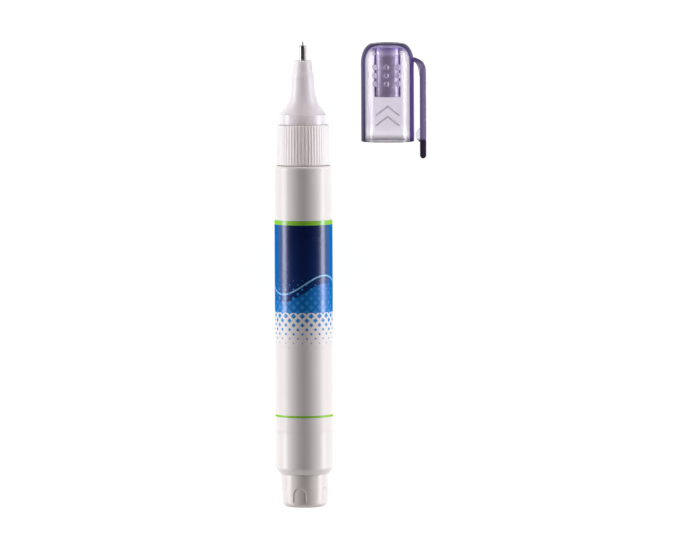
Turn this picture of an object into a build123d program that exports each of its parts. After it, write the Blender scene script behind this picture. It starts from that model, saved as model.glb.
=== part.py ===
from build123d import *
import math
import os

# Correction pen with its cap taken off and laid beside it, in millimetres.
# Each piece is drawn standing: Z runs from the tail end to the tip, -Y faces the viewer.
# At the end everything is laid down, so that the tip points along +Y and +Z is up.

# Barrel
barrel_d = 16.0
barrel_wall = 1.65
barrel_length = 85.2
barrel_rim = 0.4
barrel_chamfer = 1.7
shoulder_round = 0.8
neck_d = 10.8
neck_wall = 1.1
neck_length = 8.0
throat_slope = 1.5

# Printed film in a shallow recess of the barrel
label_start = 11.8
label_front = 15.0
label_film = 0.08
label_glue = 0.02
label_edge_gap = 0.03

# Tail plug
tail_length = 9.2
tail_draft = 0.25
tail_round = 1.7
tail_floor = 2.4
plug_wall = 1.5
plug_shoulder = 0.22
plug_depth = 8.0
plug_lead = 0.4
flute_count = 5
flute_width = 3.8
flute_height = 5.55
flute_depth = 0.16
flute_turn = -12.0

# Knurled collar
collar_length = 11.0
collar_wall = 1.12
collar_taper = 0.2
rib_count = 54
rib_depth = 0.2
rib_groove_r = 0.34

# Nozzle: skirt over the barrel's neck, ring for the cap, flare, neck and nose
skirt_wall = 0.85
ring_step = 0.25
ring_length = 3.0
ring_edge = 0.18
flare_length = 8.35
flare_step = 0.22
nozzle_neck_d = 6.34
nozzle_neck_length = 2.0
nose_slope = 1.3
nose_d = 5.4
nose_length = 3.0
nose_taper = 0.22
nose_round = 0.2
spigot_wall = 0.9
spigot_length = 5.5
cavity_set_back = 0.7
cavity_cone = 2.6
chamber_d = 3.8
chamber_length = 3.6

# Metal tip and its valve
tube_d = 2.0
tube_reach = 4.2
tube_bore_d = 1.44
tube_mouth_d = 0.84
tube_round = 0.25
tube_flange = 0.8
seat_depth = 1.6
seat_slope = 0.5
pin_d = 0.7
pin_reach = 1.0
pin_round = 0.25
stem_d = 1.0
stem_grip = 2.0
rod_collar_d = 3.0
rod_collar = 0.8
rod_collar_gap = 0.4
rod_d = 1.4
rod_tail = 1.4
valve_travel = 0.7
spring_d = 2.6
spring_wire = 0.28
spring_turns = 6
spring_length = 5.0
retainer_disc = 1.6
retainer_boss_d = 3.2
retainer_boss = 1.4
flow_hole_count = 6
flow_hole_d = 1.0

# Loose ball
ball_d = 4.8
ball_end_gap = 0.4

# Cap: shell, seal and clip, measured from its mouth
cap_height = 27.2
cap_wall = 1.05
cap_step = 0.35
cap_socket = 3.1
cap_dome = 5.5
cap_dome_wall = 1.2
cap_top_rim = 0.45
cap_mouth_round = 0.3
seal_reach = 14.86
seal_wall = 0.4
seal_lip = 2.2
seal_step = 0.4
seal_head_wall = 2.1
seal_recess = 0.4
seal_shoulder = 0.2
boss_depth = 3.4
boss_wall = 0.8
pip_d = 1.4
pip_height = 0.4
pip_drops = (5.55, 3.3, 1.05)
pip_angles = (-28.2, -2.7, 22.8)
arrow_rows = (4.2, 7.0)
arrow_span = 6.4
arrow_rise = 2.6
arrow_stroke = 0.7
arrow_relief = 0.15
clip_gap = 1.52
clip_thick = 1.75
clip_width = 4.2
clip_overhang = 4.65
clip_root_drop = 4.6
clip_root_stand = 0.4
clip_drop = 1.35
clip_bend = 2.0
clip_edge = 0.3
clip_nub_height = 1.7
clip_nub_chord = 3.8
clip_nub_rise = 1.1
clip_nub_width = 1.2
gusset_height = 3.6
gusset_width = 0.8
gusset_gap = 0.35
pad_margin = 0.3
pad_above = 1.15
pad_below = 0.45
cap_spacing = 7.95
cap_set_back = 4.75

# Clearances
press_gap = 0.02
fit_gap = 0.05
seat_gap = 0.03
joint_gap = 0.15
cap_gap = 0.1
knuckle_gap = 0.05
ball_gap = 0.1

# Radii and heights worked out from the sizes above
barrel_r = barrel_d / 2
bore_r = barrel_r - barrel_wall
plug_fit_r = bore_r - press_gap
plug_r = plug_fit_r + plug_shoulder
tail_r = plug_r - tail_draft
neck_r = neck_d / 2
neck_bore_r = neck_r - neck_wall
skirt_r = neck_r + fit_gap + skirt_wall
ring_r = skirt_r + ring_step
collar_bore_r = skirt_r + press_gap
collar_r = collar_bore_r + collar_wall
spigot_r = neck_bore_r - fit_gap
cavity_r = spigot_r - spigot_wall
chamber_r = chamber_d / 2
nozzle_neck_r = nozzle_neck_d / 2
nose_r = nose_d / 2
tube_r = tube_d / 2

label_length = barrel_length - label_start - label_front
shoulder_z = tail_length + barrel_length
neck_top_z = shoulder_z + neck_length
collar_z = shoulder_z + joint_gap
collar_top_z = collar_z + collar_length
ring_top_z = collar_top_z + ring_length
flare_top_z = ring_top_z + flare_length
neck_end_z = flare_top_z + nozzle_neck_length
nose_z = neck_end_z + nose_slope
nose_end_z = nose_z + nose_length
tip_z = nose_end_z + tube_reach

seat_top_z = tip_z - seat_depth
seat_z = seat_top_z - seat_slope
cone_z = ring_top_z - cavity_set_back
chamber_z = cone_z + cavity_cone
chamber_top_z = chamber_z + chamber_length
flange_z = chamber_top_z - tube_flange
rod_collar_z = flange_z - rod_collar_gap - rod_collar
spring_seat_z = rod_collar_z - spring_length
retainer_z = spring_seat_z - retainer_boss - retainer_disc

socket_r = ring_r + cap_gap
cap_bore_r = socket_r - cap_step
cap_r = cap_bore_r + cap_wall
lip_bore_r = nozzle_neck_r + seat_gap
seal_r = lip_bore_r + seal_wall
seal_head_r = seal_r - seal_shoulder
seal_start = cap_height - seal_reach
seal_top_z = cap_height - seal_recess
hole_r = seal_head_r + press_gap
boss_r = hole_r + boss_wall
boss_start = cap_height - boss_depth
dome_z = cap_height - cap_dome
dome_r = hole_r + cap_top_rim
clip_r = clip_thick / 2
clip_root_x = cap_r + clip_root_stand
clip_root_height = cap_height - clip_root_drop
clip_bar_x = cap_r + clip_gap + clip_r
clip_corner_z = clip_root_height - clip_drop
clip_end_z = clip_r - clip_overhang

same = 1e-4
quarter_turn = 90


def at(r, z):
    """Point of a turned outline: radius and height."""
    return Vector(r, 0, z)


def run(*points):
    """Straight edges through the given (radius, height) points."""
    return [Line(at(*a), at(*b)) for a, b in zip(points, points[1:])]


def turned(*points):
    """Solid turned about the axis from a closed outline of straight edges."""
    return revolve(make_face(run(*points, points[0])), Axis.Z)


def ring_body(inner, outer, low, high):
    """Plain tube between two radii and two heights."""
    return turned((inner, low), (outer, low), (outer, high), (inner, high))


def rims(solid, *places):
    """Circular edges of a turned solid at the given (radius, height) places."""
    circles = solid.edges().filter_by(GeomType.CIRCLE)
    return [
        edge
        for edge in circles
        for r, z in places
        if abs(edge.radius - r) < same and abs(edge.arc_center.Z - z) < same
    ]


def make_barrel():
    """Tube open at the tail for the plug, stepped down to a neck at the front."""
    recess_r = barrel_r - label_film - label_glue
    recess_z = tail_length + label_start - label_edge_gap
    recess_top_z = tail_length + label_start + label_length + label_edge_gap
    body = turned(
        (bore_r, tail_length),
        (bore_r + barrel_rim, tail_length),
        (barrel_r, tail_length + barrel_chamfer),
        (barrel_r, recess_z),
        (recess_r, recess_z),
        (recess_r, recess_top_z),
        (barrel_r, recess_top_z),
        (barrel_r, shoulder_z),
        (neck_r, shoulder_z),
        (neck_r, neck_top_z),
        (neck_bore_r, neck_top_z),
        (neck_bore_r, shoulder_z - barrel_wall),
        (bore_r, shoulder_z - barrel_wall - throat_slope),
    )
    return fillet(rims(body, (barrel_r, shoulder_z)), shoulder_round)


def make_label():
    """Film that fills the barrel's recess flush with its outside."""
    low = tail_length + label_start
    return ring_body(barrel_r - label_film, barrel_r, low, low + label_length)


def make_tail_plug():
    """Cup with a tapered, fluted end that closes the barrel's tail."""
    shoulder_low_z = tail_length - press_gap
    end_z = tail_length + plug_depth
    hollow_r = plug_fit_r - plug_wall
    body = turned(
        (0, 0),
        (tail_r, 0),
        (plug_r, shoulder_low_z),
        (plug_fit_r, shoulder_low_z),
        (plug_fit_r, end_z - plug_lead),
        (plug_fit_r - plug_lead, end_z),
        (hollow_r, end_z),
        (hollow_r, tail_floor + tail_round),
        (0, tail_floor + tail_round),
    )
    body = fillet(rims(body, (tail_r, 0)), tail_round)
    flute_r = flute_width / 2
    floor = Cone(
        tail_r - flute_depth, plug_r - flute_depth, tail_length, align=(Align.CENTER, Align.CENTER, Align.MIN)
    )
    arch = Pos(0, flute_height - flute_r) * Circle(flute_r)
    leg = Rectangle(flute_width, flute_height, align=(Align.CENTER, Align.MIN))
    stem = Pos(0, -flute_r) * leg
    wall = Plane(origin=(0, -hollow_r, 0), x_dir=(1, 0, 0), z_dir=(0, -1, 0))
    flute = extrude(wall * (arch + stem), flute_width) - floor
    for i in range(flute_count):
        body -= Rot(0, 0, flute_turn + 360 * i / flute_count) * flute
    return body


def make_collar():
    """Slightly tapered ring with fine upright ribs between rounded grooves."""
    body = turned(
        (collar_bore_r, collar_z),
        (collar_r, collar_z),
        (collar_r - collar_taper, collar_top_z),
        (collar_bore_r, collar_top_z),
    )
    lean = math.degrees(math.atan2(collar_taper, collar_length))
    middle_r = collar_r - collar_taper / 2 - rib_depth + rib_groove_r
    middle_z = collar_z + collar_length / 2
    groove = Pos(middle_r, 0, middle_z) * Rot(0, -lean, 0) * Cylinder(rib_groove_r, 2 * collar_length)
    grooves = [Rot(0, 0, 360 * i / rib_count) * groove for i in range(rib_count)]
    return body - grooves


def make_nozzle():
    """Skirt, cap ring, concave flare, neck and nose in one moulding, hollow behind."""
    flare_r = ring_r - flare_step
    fall = flare_r - nozzle_neck_r
    arc_r = (flare_length**2 + fall**2) / (2 * fall)
    half_turn = math.asin(flare_length / arc_r) / 2
    flare_middle = (
        nozzle_neck_r + arc_r * (1 - math.cos(half_turn)),
        flare_top_z - arc_r * math.sin(half_turn),
    )
    skirt_bore_r = neck_r + fit_gap
    web_z = neck_top_z + fit_gap
    outline = run(
        (nozzle_neck_r, flare_top_z),
        (nozzle_neck_r, neck_end_z),
        (nose_r, nose_z),
        (nose_r - nose_taper, nose_end_z),
        (tube_r + press_gap, nose_end_z),
        (tube_r + press_gap, chamber_top_z),
        (chamber_r, chamber_top_z),
        (chamber_r, chamber_z),
        (cavity_r, cone_z),
        (cavity_r, web_z - spigot_length),
        (spigot_r, web_z - spigot_length),
        (spigot_r, web_z),
        (skirt_bore_r, web_z),
        (skirt_bore_r, collar_z),
        (skirt_r, collar_z),
        (skirt_r, collar_top_z + press_gap),
        (ring_r, collar_top_z + press_gap),
        (ring_r, ring_top_z),
        (flare_r, ring_top_z),
    )
    flare = ThreePointArc(at(flare_r, ring_top_z), at(*flare_middle), at(nozzle_neck_r, flare_top_z))
    body = revolve(make_face(outline + [flare]), Axis.Z)
    body = fillet(rims(body, (nose_r - nose_taper, nose_end_z)), nose_round)
    return chamfer(rims(body, (ring_r, ring_top_z)), ring_edge)


def make_tip_tube():
    """Stepped metal tube with a flange behind and a conical valve seat in front."""
    bore_radius = tube_bore_d / 2
    mouth_r = tube_mouth_d / 2
    body = turned(
        (bore_radius, flange_z),
        (chamber_r - press_gap, flange_z),
        (chamber_r - press_gap, chamber_top_z - press_gap),
        (tube_r, chamber_top_z - press_gap),
        (tube_r, tip_z),
        (mouth_r, tip_z),
        (mouth_r, seat_top_z),
        (bore_radius, seat_z),
    )
    return fillet(rims(body, (tube_r, tip_z)), tube_round)


def make_needle():
    """Steel pin with a conical shoulder that closes the tube's seat."""
    pin_r = pin_d / 2
    stem_r = stem_d / 2
    slope = seat_slope / (tube_bore_d / 2 - tube_mouth_d / 2)
    shoulder_low_z = seat_z + slope * (tube_bore_d / 2 - stem_r) - seat_gap
    shoulder_top_z = shoulder_low_z + slope * (stem_r - pin_r)
    end_z = tip_z + pin_reach
    body = turned(
        (0, rod_collar_z + rod_collar - stem_grip),
        (stem_r, rod_collar_z + rod_collar - stem_grip),
        (stem_r, shoulder_low_z),
        (pin_r, shoulder_top_z),
        (pin_r, end_z),
        (0, end_z),
    )
    return fillet(rims(body, (pin_r, end_z)), pin_round)


def make_valve_rod():
    """Plastic rod behind the needle, with the collar that the spring pushes."""
    rod_r = rod_d / 2
    socket = stem_d / 2 + press_gap
    top_z = rod_collar_z + rod_collar
    floor_z = top_z - stem_grip - press_gap
    return turned(
        (0, retainer_z - rod_tail + valve_travel),
        (rod_r, retainer_z - rod_tail + valve_travel),
        (rod_r, rod_collar_z),
        (rod_collar_d / 2, rod_collar_z),
        (rod_collar_d / 2, top_z),
        (socket, top_z),
        (socket, floor_z),
        (0, floor_z),
    )


def make_valve_spring():
    """Coil of round wire on tangent arcs, two to each quarter turn."""
    wire_r = spring_wire / 2
    coil_r = spring_d / 2 - wire_r
    low_z = spring_seat_z + wire_r + seat_gap
    high_z = rod_collar_z - wire_r - seat_gap
    quarters = 4 * spring_turns
    step = math.pi / 2
    rise = (high_z - low_z) / quarters

    def place(k):
        return Vector(coil_r * math.cos(k * step), coil_r * math.sin(k * step), low_z + rise * k)

    def heading(k):
        return Vector(-coil_r * math.sin(k * step), coil_r * math.cos(k * step), rise / step).normalized()

    arcs = []
    for k in range(quarters):
        start, end = place(k), place(k + 1)
        leaving, arriving = heading(k), heading(k + 1)
        chord = end - start
        along = chord.dot(leaving + arriving)
        bend = 2 * (1 - leaving.dot(arriving))
        reach = (math.sqrt(along**2 + bend * chord.dot(chord)) - along) / bend
        middle = (start + end + (leaving - arriving) * reach) * 0.5
        first = TangentArc(start, middle, tangent=leaving)
        arcs += [first, TangentArc(middle, end, tangent=first % 1)]
    section = Plane(origin=place(0), z_dir=heading(0)) * Circle(wire_r)
    return sweep(section, path=Wire(arcs))


def make_spring_retainer():
    """Disc with flow holes, pressed into the nozzle, with a guide for the rod."""
    guide_r = rod_d / 2 + fit_gap
    boss_radius = retainer_boss_d / 2
    disc_r = cavity_r - press_gap
    disc_top_z = retainer_z + retainer_disc
    body = turned(
        (guide_r, retainer_z),
        (disc_r, retainer_z),
        (disc_r, disc_top_z),
        (boss_radius, disc_top_z),
        (boss_radius, spring_seat_z),
        (guide_r, spring_seat_z),
    )
    hole_ring_r = (boss_radius + disc_r) / 2
    hole = Pos(hole_ring_r, 0, retainer_z + retainer_disc / 2) * Cylinder(flow_hole_d / 2, 2 * retainer_disc)
    return body - [Rot(0, 0, 360 * i / flow_hole_count) * hole for i in range(flow_hole_count)]


def make_mixing_ball():
    """Steel ball lying on the low side of the bore, next to the plug."""
    radius = ball_d / 2
    height = tail_length + plug_depth + ball_end_gap + radius
    return Pos(0, bore_r - ball_gap - radius, height) * Sphere(radius)


def on_wall(sketch, relief):
    """Low relief of a front-view sketch on the cap's outer wall."""
    front = Plane(origin=(0, -2 * cap_r, 0), x_dir=(1, 0, 0), z_dir=(0, 1, 0))
    skin = ring_body(cap_r - cap_wall / 2, cap_r + relief, 0, cap_height)
    return extrude(front * sketch, 2 * cap_r) & skin


def make_arrows():
    """Two plain chevrons that point the way the cap pulls off."""
    half = arrow_span / 2
    marks = []
    for row in arrow_rows:
        points = (
            (-half, -row),
            (0, -row - arrow_rise),
            (half, -row),
            (half, -row - arrow_stroke),
            (0, -row - arrow_rise - arrow_stroke),
            (-half, -row - arrow_stroke),
        )
        marks.append(on_wall(make_face(Polyline(*points, close=True)), arrow_relief))
    return marks


def make_pips():
    """Small domes in a grid on the cap's front wall."""
    radius = ((pip_d / 2) ** 2 + pip_height**2) / (2 * pip_height)
    centre_r = cap_r + pip_height - radius
    inside = Cylinder(cap_r - cap_wall / 2, 2 * cap_height)
    dome = Sphere(radius)
    pips = []
    for drop in pip_drops:
        for angle in pip_angles:
            pips.append(Rot(0, 0, angle) * Pos(0, -centre_r, dome_z - drop) * dome - inside)
    return pips


def make_cap_shell():
    """Domed cap with a stepped socket, a sleeve socket in its top and a clip pad."""
    inner_dome = cap_dome - cap_dome_wall
    span = cap_bore_r - dome_r
    outer_arc = EllipticalCenterArc((dome_r, dome_z), cap_r - dome_r, cap_dome, arc_size=quarter_turn)
    outside = make_face(
        [outer_arc]
        + Polyline((dome_r, cap_height), (0, cap_height), (0, 0), (cap_r, 0), (cap_r, dome_z)).edges()
    )
    inner_arc = EllipticalCenterArc((dome_r, dome_z), span, inner_dome, arc_size=quarter_turn)
    inside = make_face(
        [inner_arc]
        + Polyline(
            (dome_r, dome_z + inner_dome),
            (0, dome_z + inner_dome),
            (0, 0),
            (socket_r, 0),
            (socket_r, cap_socket),
            (cap_bore_r, cap_socket),
            (cap_bore_r, dome_z),
        ).edges()
    )
    boss = ring_body(hole_r, boss_r, boss_start, cap_height - cap_dome_wall / 2)
    shell = revolve(Plane.XZ * outside, Axis.Z)
    shell = fillet(rims(shell, (cap_r, 0)), cap_mouth_round)
    pad_width = clip_width + 2 * pad_margin
    pad_height = pad_above + pad_below
    climb = max(0, clip_root_height + pad_above - dome_z) / cap_dome
    pad_base_x = dome_r + (cap_r - dome_r) * math.sqrt(1 - climb**2) - cap_wall / 2
    pad = Box(clip_root_x - pad_base_x, pad_width, pad_height, align=(Align.MIN, Align.CENTER, Align.MIN))
    shell += Pos(pad_base_x, 0, clip_root_height - pad_below) * pad
    shell -= revolve(Plane.XZ * inside, Axis.Z)
    shell += boss
    shell -= Pos(0, 0, cap_height) * Cylinder(hole_r, 2 * cap_dome)
    knuckle = Rot(90, 0, 0) * Cylinder(clip_r + knuckle_gap, 2 * clip_width)
    shell -= Pos(clip_root_x, 0, clip_root_height) * knuckle
    for mark in make_pips() + make_arrows():
        shell += mark
    return shell


def make_inner_seal():
    """Sleeve with a closed head, held in the boss, and a thin lip for the nozzle's neck."""
    bore = lip_bore_r - seal_step
    ceiling_z = seal_top_z - seal_head_wall
    return turned(
        (0, seal_top_z),
        (0, ceiling_z),
        (bore, ceiling_z),
        (bore, seal_start + seal_lip + seal_step),
        (lip_bore_r, seal_start + seal_lip),
        (lip_bore_r, seal_start),
        (seal_r, seal_start),
        (seal_r, boss_start - fit_gap),
        (seal_head_r, boss_start - fit_gap),
        (seal_head_r, seal_top_z),
    )


def make_pocket_clip():
    """Arm with a round knuckle at the cap, straight bar, gripping nub and gusset."""

    root = (clip_root_x, clip_root_height)
    corner = (clip_bar_x, clip_corner_z)
    side = Plane(origin=(0, 0, 0), x_dir=(1, 0, 0), z_dir=(0, -1, 0))
    middle = FilletPolyline(root, corner, (clip_bar_x, clip_end_z), radius=clip_bend)
    outline = make_face(middle.offset_2d(clip_r, kind=Kind.ARC, side=Side.BOTH).edges())
    clip = extrude(side * outline, clip_width / 2, both=True)
    clip = fillet(clip.faces().filter_by(Axis.Y).edges(), clip_edge)
    inner_x = clip_bar_x - clip_r
    nub_r = ((clip_nub_chord / 2) ** 2 + clip_nub_rise**2) / (2 * clip_nub_rise)
    nub = Pos(inner_x - clip_nub_rise + nub_r, clip_nub_height) * Circle(nub_r)
    nub &= Pos(inner_x - clip_nub_rise, clip_nub_height) * Rectangle(2 * (clip_nub_rise + clip_r), clip_nub_chord)
    gusset = make_face(
        Polyline(
            (cap_r + gusset_gap, clip_corner_z + clip_r / 2),
            (clip_bar_x, clip_corner_z),
            (clip_bar_x, clip_corner_z - gusset_height),
            (inner_x, clip_corner_z - gusset_height),
            close=True,
        )
    )
    clip += extrude(side * nub, clip_nub_width / 2, both=True)
    clip += extrude(side * gusset, gusset_width / 2, both=True)
    return clip


pen = {
    "barrel": make_barrel(),
    "label": make_label(),
    "tail_plug": make_tail_plug(),
    "collar": make_collar(),
    "nozzle": make_nozzle(),
    "tip_tube": make_tip_tube(),
    "needle": make_needle(),
    "valve_rod": make_valve_rod(),
    "valve_spring": make_valve_spring(),
    "spring_retainer": make_spring_retainer(),
    "mixing_ball": make_mixing_ball(),
}
cap = {
    "cap_shell": make_cap_shell(),
    "inner_seal": make_inner_seal(),
    "pocket_clip": make_pocket_clip(),
}

# The cap lies on the same surface as the barrel, level with the nozzle
cap_place = Pos(barrel_r + cap_spacing + cap_r, barrel_r - cap_r, collar_top_z - cap_set_back)
lay_down = Rot(-90, 0, 0)

os.makedirs("parts", exist_ok=True)
for name, piece in pen.items():
    export_step(lay_down * piece, f"parts/{name}.step")
for name, piece in cap.items():
    export_step(lay_down * cap_place * piece, f"parts/{name}.step")
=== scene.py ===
"""Correction pen with its cap off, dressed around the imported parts, in metres."""

import math

import bmesh
import bpy
import numpy as np
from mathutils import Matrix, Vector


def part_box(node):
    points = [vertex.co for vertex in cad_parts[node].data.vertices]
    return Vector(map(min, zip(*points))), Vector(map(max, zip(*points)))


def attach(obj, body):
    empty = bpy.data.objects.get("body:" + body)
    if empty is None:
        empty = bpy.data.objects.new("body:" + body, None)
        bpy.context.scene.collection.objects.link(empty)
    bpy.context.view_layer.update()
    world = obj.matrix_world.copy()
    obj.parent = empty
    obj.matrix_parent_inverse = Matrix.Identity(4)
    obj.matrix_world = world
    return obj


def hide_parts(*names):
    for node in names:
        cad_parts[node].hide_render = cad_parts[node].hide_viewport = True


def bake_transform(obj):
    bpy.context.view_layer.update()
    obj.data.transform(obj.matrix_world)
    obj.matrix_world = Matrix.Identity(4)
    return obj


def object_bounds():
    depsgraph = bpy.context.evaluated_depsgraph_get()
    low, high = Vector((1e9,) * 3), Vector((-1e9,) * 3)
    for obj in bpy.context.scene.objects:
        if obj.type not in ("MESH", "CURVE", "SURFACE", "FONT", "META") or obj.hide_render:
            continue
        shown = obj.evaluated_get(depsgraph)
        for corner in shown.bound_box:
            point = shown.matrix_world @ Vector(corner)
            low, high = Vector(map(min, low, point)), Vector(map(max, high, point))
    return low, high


bl_info = {
    "name": "Correction pen",
    "version": (1, 0, 0),
    "blender": (4, 5, 0),
    "location": "View3D > Sidebar > Correction pen",
    "description": "Builds the pieces, finishes and studio of a correction pen with its cap off",
    "category": "Object",
}

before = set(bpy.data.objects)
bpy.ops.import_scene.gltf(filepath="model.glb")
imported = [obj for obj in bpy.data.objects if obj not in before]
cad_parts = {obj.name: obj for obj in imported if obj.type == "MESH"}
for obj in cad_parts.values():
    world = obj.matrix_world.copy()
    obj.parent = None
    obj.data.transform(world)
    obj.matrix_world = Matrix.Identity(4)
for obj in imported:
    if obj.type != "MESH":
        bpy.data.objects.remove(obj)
cad_low, cad_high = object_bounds()

MM = 0.001
TURN = 2 * math.pi
WHITE = (1.0, 1.0, 1.0, 1.0)
# Points closer than MERGE are one point, and edges that turn more than SHARP are shown sharp
MERGE = 1e-5 * MM
SHARP = math.radians(48)


def linear(hex_colour):
    """Linear red, green, blue and alpha of an sRGB hex colour."""
    channels = np.array([int(hex_colour[k : k + 2], 16) for k in (1, 3, 5)]) / 255
    curved = ((channels + 0.055) / 1.055) ** 2.4
    return (*np.where(channels <= 0.04045, channels / 12.92, curved).tolist(), 1.0)


def length(name, millimetres, description):
    """A size property, given in millimetres and kept in metres."""
    return bpy.props.FloatProperty(
        name=name, description=description, default=millimetres * MM, unit="LENGTH", precision=6
    )


def share(name, value, description):
    """A plain number property."""
    return bpy.props.FloatProperty(name=name, description=description, default=value)


def angle(name, degrees, description):
    """An angle property, given in degrees and kept in radians."""
    return bpy.props.FloatProperty(
        name=name, description=description, default=math.radians(degrees), subtype="ANGLE"
    )


def count(name, value, description):
    """A whole number property."""
    return bpy.props.IntProperty(name=name, description=description, default=value, min=1)


def tint(name, hex_colour, description):
    """A colour property, given as sRGB hex and kept linear."""
    default = linear(hex_colour)
    return bpy.props.FloatVectorProperty(
        name=name, description=description, default=default, size=4, subtype="COLOR", min=0.0, max=1.0
    )


class PenSizes(bpy.types.PropertyGroup):
    """Sizes of the pen, along its axis from the tail."""

    round_steps: count("Steps round", 192, "Faces round a plain turned piece")
    barrel_radius: length("Barrel radius", 8.0, "Outside of the straight barrel")
    barrel_bore: length("Barrel bore", 6.35, "Inside radius of the barrel")
    barrel_rim: length("Barrel rim", 6.75, "Radius of the flat rim at the tail")
    barrel_chamfer: length("Barrel chamfer", 1.7, "Length of the slope behind the rim")
    shoulder: length("Shoulder", 94.4, "Where the barrel steps down under the collar")
    shoulder_reach: length("Shoulder softness", 0.95, "How far the shoulder's rounding reaches")
    neck_radius: length("Neck radius", 5.4, "Outside of the neck inside the collar")
    neck_bore: length("Neck bore", 4.3, "Inside radius of the neck")
    throat: length("Throat", 92.75, "Where the bore starts to widen behind the neck")
    throat_slope: length("Throat slope", 1.5, "Length of the slope between neck bore and bore")
    film: length("Film", 0.08, "Thickness of the printed film")
    film_glue: length("Glue", 0.02, "Glue under the film")
    film_gap: length("Film gap", 0.03, "Hairline between the film's ends and the barrel")
    film_lap: length("Film lap", 0.04, "How far the film stands up where it laps itself")
    plug_fit: length("Plug fit radius", 6.33, "Plug's radius inside the barrel")
    plug_radius: length("Plug radius", 6.55, "Plug's radius where it meets the barrel")
    plug_end_radius: length("Plug end radius", 6.3, "Plug's radius at its end face")
    plug_round: length("Plug end softness", 2.1, "How far the end face's rounding reaches")
    plug_hollow: length("Plug hollow", 4.83, "Inside radius of the plug")
    plug_floor: length("Plug floor", 4.1, "Thickness of the plug's end")
    plug_lead: length("Plug lead-in", 0.4, "Slope at the plug's inner end")
    flute_count: count("Flutes", 5, "Flutes round the plug")
    flute_turn: angle("Flute turn", -12, "Turn of the first flute from the top")
    flute_width: length("Flute width", 3.8, "Width of a flute")
    flute_height: length("Flute height", 5.55, "Height of a flute's arch")
    flute_depth: length("Flute depth", 0.16, "Depth of a flute's floor under the plug's wall")
    flute_edge: length("Flute edge", 0.26, "Width over which a flute's edge falls in")
    collar_bore: length("Collar bore", 6.32, "Inside radius of the collar")
    collar_low: length("Collar radius behind", 7.44, "Collar's radius next to the barrel")
    collar_high: length("Collar radius in front", 7.24, "Collar's radius next to the ring")
    rib_count: count("Ribs", 54, "Ribs round the collar")
    rib_depth: length("Rib depth", 0.09, "Depth of the grooves between the ribs")
    skirt_radius: length("Skirt radius", 6.3, "Nozzle's skirt inside the collar")
    skirt_bore: length("Skirt bore", 5.45, "Inside radius of the skirt")
    web: length("Web", 102.45, "Where the nozzle's skirt and spigot join")
    spigot_radius: length("Spigot radius", 4.25, "Outside of the spigot in the barrel's neck")
    spigot_length: length("Spigot length", 5.5, "Length of the spigot")
    ring_radius: length("Ring radius", 6.55, "Ring that the cap goes over")
    ring_length: length("Ring length", 3.0, "Length of that ring")
    flare_radius: length("Flare radius", 6.33, "Wide end of the flare")
    flare_length: length("Flare length", 8.35, "Length of the flare")
    tip_neck_radius: length("Tip neck radius", 3.17, "Narrow neck in front of the flare")
    tip_neck_length: length("Tip neck length", 2.0, "Length of that neck")
    nose_slope: length("Nose slope", 1.3, "Length of the slope from neck to nose")
    nose_radius: length("Nose radius", 2.7, "Nose at the slope")
    nose_end_radius: length("Nose end radius", 2.48, "Nose at its end")
    cavity: length("Cavity radius", 3.35, "Hollow behind the valve")
    cavity_end: length("Cavity end", 107.85, "Where the hollow narrows")
    chamber: length("Chamber radius", 1.9, "Spring chamber's radius")
    chamber_low: length("Chamber start", 110.45, "Spring chamber's wide end")
    chamber_high: length("Chamber end", 114.05, "Spring chamber's far end")
    tube_radius: length("Tube radius", 1.0, "Outside of the metal tube")
    tube_bore: length("Tube bore", 0.72, "Inside radius of the metal tube")
    tube_mouth: length("Tube mouth", 0.42, "Radius of the tube's opening")
    tube_flange: length("Flange radius", 1.88, "Flange behind the tube")
    flange_length: length("Flange length", 0.78, "Thickness of the flange")
    valve_seat: length("Valve seat", 2.1, "Depth of the valve seat below the tube's end")
    valve_slope: length("Valve slope", 0.5, "Length of the conical seat")
    pin_radius: length("Pin radius", 0.35, "Pin that stands out of the tube")
    stem_radius: length("Stem radius", 0.5, "Pin's thicker stem inside the tube")
    pin_slope: length("Pin slope", 2.513, "Distance of the stem's cone from the pin's end")
    coil_radius: length("Coil radius", 1.16, "Middle of the spring's wire from the axis")
    wire_radius: length("Wire radius", 0.14, "Radius of the spring's wire")
    coil_turns: count("Coils", 6, "Turns of the spring")
    fit: length("Fit", 0.02, "Room between pressed pieces")


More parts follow.
